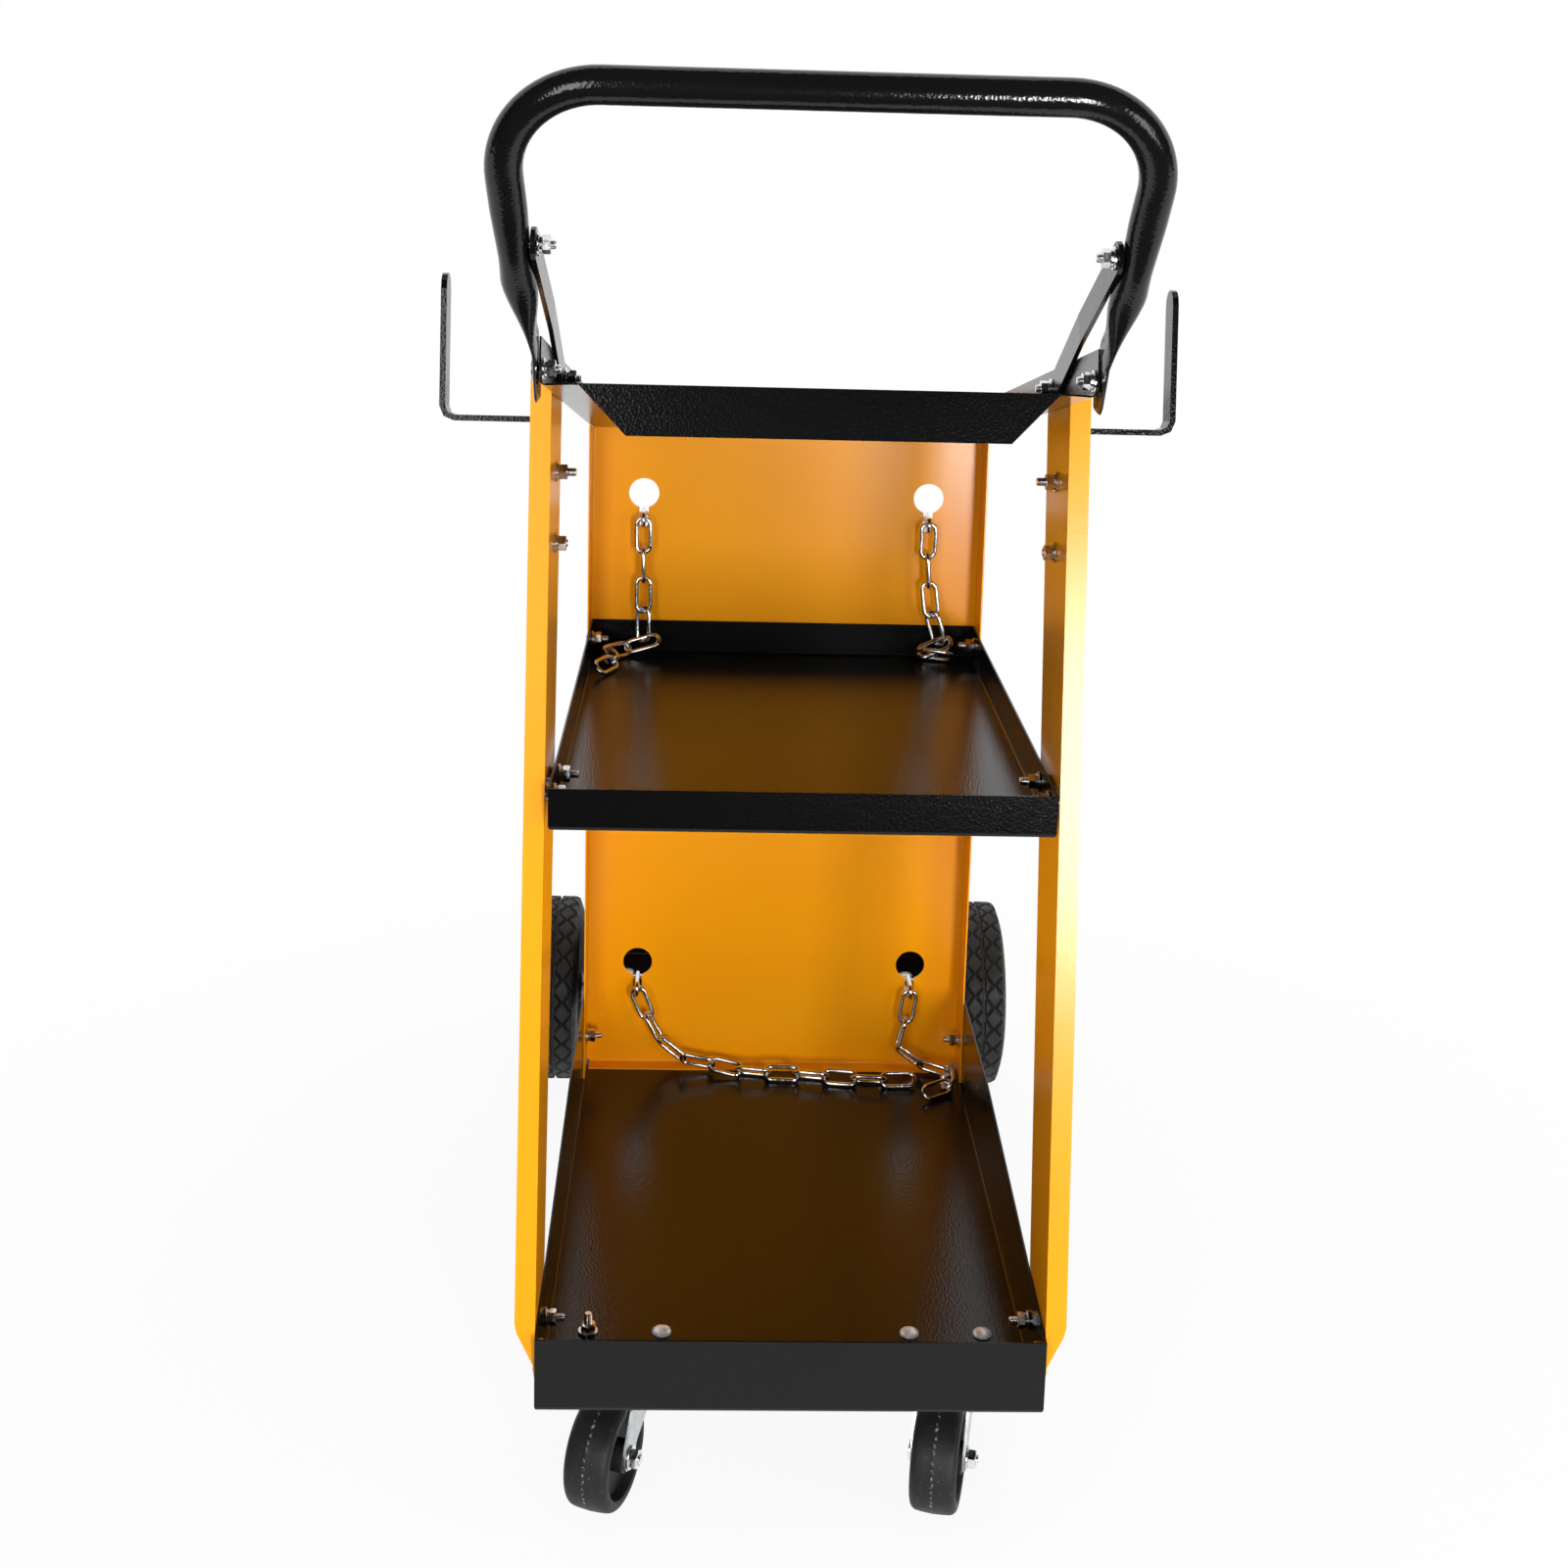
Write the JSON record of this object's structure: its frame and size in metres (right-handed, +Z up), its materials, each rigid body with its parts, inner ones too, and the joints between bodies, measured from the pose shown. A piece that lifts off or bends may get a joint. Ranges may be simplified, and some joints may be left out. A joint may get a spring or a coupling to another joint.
{
  "type": "welding cart",
  "caption": "Sheet-steel welding cart: trays between leaning uprights and a back panel, bent tube handle, cable hooks, cylinder platform with chains, rear wheels and swivel casters.",
  "frame": {"origin": "on the ground under the middle of the whole cart", "axes": "+X to the right seen from the handle, +Y from the handle to the cylinder platform, +Z up"},
  "size_m": [0.495, 0.8818, 0.9694],
  "materials": {
    "yellow_coat": "glossy powder coat with a fine orange-peel texture",
    "black_coat": "semi-gloss powder coat with a fine orange-peel texture",
    "zinc": "bright zinc plate",
    "tyre": "moulded rubber",
    "caster_rubber": "moulded rubber",
    "hub_plastic": "moulded black plastic"
  },
  "bodies": {
    "cart_frame": {"back_panel": "yellow_coat", "base_tray": "black_coat", "handle_tube": "black_coat", "left_axle_cap": "zinc", "left_axle_saddle": "black_coat", "left_base_front_far_screw": "zinc", "left_base_front_near_screw": "zinc", "left_base_rear_screw": "zinc", "left_cable_hook": "black_coat", "left_caster_inner_bolt": "zinc", "left_caster_king_pin": "zinc", "left_caster_outer_bolt": "zinc", "left_caster_plate": "zinc", "left_handle_screw": "zinc", "left_handle_strut": "black_coat", "left_hook_lower_screw": "zinc", "left_hook_upper_screw": "zinc", "left_middle_front_far_screw": "zinc", "left_middle_front_near_screw": "zinc", "left_middle_rear_screw": "zinc", "left_strut_lower_screw": "zinc", "left_strut_upper_screw": "zinc", "left_upright": "yellow_coat", "lower_left_chain": "zinc", "lower_right_chain": "zinc", "middle_tray": "black_coat", "right_axle_cap": "zinc", "right_axle_saddle": "black_coat", "right_base_front_far_screw": "zinc", "right_base_front_near_screw": "zinc", "right_base_rear_screw": "zinc", "right_cable_hook": "black_coat", "right_caster_inner_bolt": "zinc", "right_caster_king_pin": "zinc", "right_caster_outer_bolt": "zinc", "right_caster_plate": "zinc", "right_handle_screw": "zinc", "right_handle_strut": "black_coat", "right_hook_lower_screw": "zinc", "right_hook_upper_screw": "zinc", "right_middle_front_far_screw": "zinc", "right_middle_front_near_screw": "zinc", "right_middle_rear_screw": "zinc", "right_strut_lower_screw": "zinc", "right_strut_upper_screw": "zinc", "right_upright": "yellow_coat", "top_tray": "black_coat", "upper_left_chain": "zinc", "upper_right_chain": "zinc", "wheel_axle": "zinc"},
    "left_rear_wheel": {"left_rear_tyre": "tyre", "left_rear_hub": "hub_plastic"},
    "left_caster_swivel_fork": {"left_caster_fork": "zinc", "left_caster_axle_bolt": "zinc"},
    "left_caster_roller": {"left_caster_wheel": "caster_rubber"},
    "right_rear_wheel": {"right_rear_tyre": "tyre", "right_rear_hub": "hub_plastic"},
    "right_caster_swivel_fork": {"right_caster_fork": "zinc", "right_caster_axle_bolt": "zinc"},
    "right_caster_roller": {"right_caster_wheel": "caster_rubber"}
  },
  "joints": [
    {"name": "left_rear_wheel_spin", "type": "hinge", "parent": "cart_frame", "child": "left_rear_wheel", "pos_m": [-0.207, 0.35237, 0.0885], "axis": [1, 0, 0], "continuous": true},
    {"name": "left_caster_swivel", "type": "hinge", "parent": "cart_frame", "child": "left_caster_swivel_fork", "pos_m": [-0.114, -0.27363, 0], "axis": [0, 0, 1], "continuous": true},
    {"name": "left_caster_wheel_spin", "type": "hinge", "parent": "left_caster_swivel_fork", "child": "left_caster_roller", "pos_m": [-0.12494, -0.3037, 0.038], "axis": [0.9397, -0.342, 0], "continuous": true},
    {"name": "right_rear_wheel_spin", "type": "hinge", "parent": "cart_frame", "child": "right_rear_wheel", "pos_m": [0.207, 0.35237, 0.0885], "axis": [1, 0, 0], "continuous": true},
    {"name": "right_caster_swivel", "type": "hinge", "parent": "cart_frame", "child": "right_caster_swivel_fork", "pos_m": [0.114, -0.27363, 0], "axis": [0, 0, 1], "continuous": true},
    {"name": "right_caster_wheel_spin", "type": "hinge", "parent": "right_caster_swivel_fork", "child": "right_caster_roller", "pos_m": [0.10626, -0.30467, 0.038], "axis": [0.9703, -0.2419, 0], "continuous": true}
  ]
}
